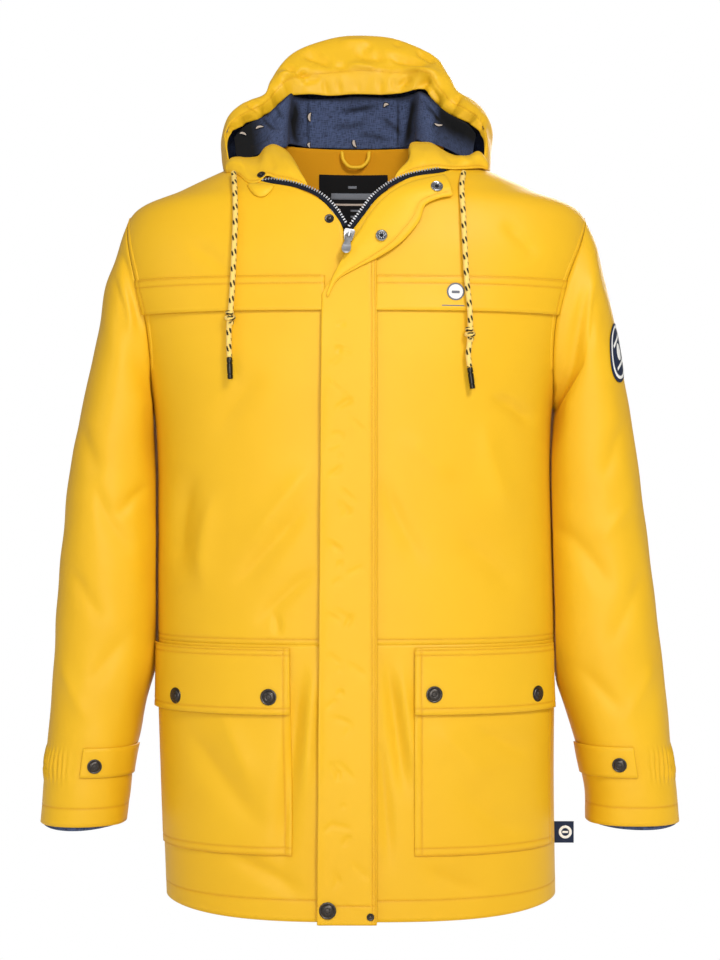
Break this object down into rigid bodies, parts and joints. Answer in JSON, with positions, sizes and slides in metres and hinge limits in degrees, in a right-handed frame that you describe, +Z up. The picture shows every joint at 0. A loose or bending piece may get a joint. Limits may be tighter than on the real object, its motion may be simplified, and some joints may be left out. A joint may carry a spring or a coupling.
{
  "type": "hooded raincoat",
  "caption": "Hooded waterproof raincoat in its hollow worn shape, with a storm placket, zip, flap pockets, cuff tabs and drawcord hood.",
  "frame": {"origin": "in the neck, between the shoulders, where the wearer holds the coat up", "axes": "+X to the wearer's left, -Y to the front of the coat, +Z up"},
  "size_m": [0.709, 0.2975, 0.9825],
  "materials": {
    "coated_cloth": "smooth waterproof coating, satin sheen",
    "coated_facing": "smooth waterproof coating, satin sheen",
    "lining": "melange woven lining, matt",
    "zip_tape": "woven tape, matt",
    "snap_metal": "dark gunmetal, polished",
    "nickel": "bright nickel",
    "cord": "braided cord, matt",
    "cord_tip": "dark metal",
    "black_label": "woven label, matt",
    "navy_label": "woven label, matt"
  },
  "bodies": {
    "coat": {"back_skirt": "coated_cloth", "back_upper": "coated_cloth", "collar_l": "coated_facing", "collar_r": "coated_facing", "cord_knot_l": "cord", "cord_knot_r": "cord", "cord_tail_l": "cord", "cord_tail_r": "cord", "cord_tip_l": "cord_tip", "cord_tip_r": "cord_tip", "cuff_lining_l": "lining", "cuff_lining_r": "lining", "cuff_tab_l": "coated_cloth", "cuff_tab_r": "coated_cloth", "drawcord_l": "cord", "drawcord_r": "cord", "front_skirt_l": "coated_cloth", "front_skirt_r": "coated_cloth", "front_upper_l": "coated_cloth", "front_upper_r": "coated_cloth", "hanger_loop": "coated_facing", "hood": "coated_cloth", "hood_lining": "lining", "neck_facing": "coated_facing", "neck_label": "black_label", "placket": "coated_cloth", "placket_turnback": "coated_facing", "pocket_flap_l": "coated_cloth", "pocket_flap_r": "coated_cloth", "pocket_l": "coated_cloth", "pocket_r": "coated_cloth", "side_label": "navy_label", "sleeve_l": "coated_cloth", "sleeve_patch": "navy_label", "sleeve_r": "coated_cloth", "snap_cuff_l": "snap_metal", "snap_cuff_r": "snap_metal", "snap_flap_l_inner": "snap_metal", "snap_flap_l_outer": "snap_metal", "snap_flap_r_inner": "snap_metal", "snap_flap_r_outer": "snap_metal", "snap_hem_stud": "snap_metal", "snap_placket_hem": "snap_metal", "snap_socket_lower": "snap_metal", "snap_socket_upper": "snap_metal", "snap_stud_front": "snap_metal", "yoke_l": "coated_cloth", "yoke_r": "coated_cloth", "zip_closed": "zip_tape", "zip_slider": "nickel", "zip_tape_l": "zip_tape", "zip_tape_r": "zip_tape"},
    "pull_tab": {"pull_tab": "nickel"}
  },
  "joints": [
    {"name": "pull_tab_swing", "type": "hinge", "parent": "coat", "child": "pull_tab", "pos_m": [-0.01161, -0.12969, -0.109], "axis": [-0.9848, 0, 0.1736], "range_deg": [0, 120]}
  ]
}
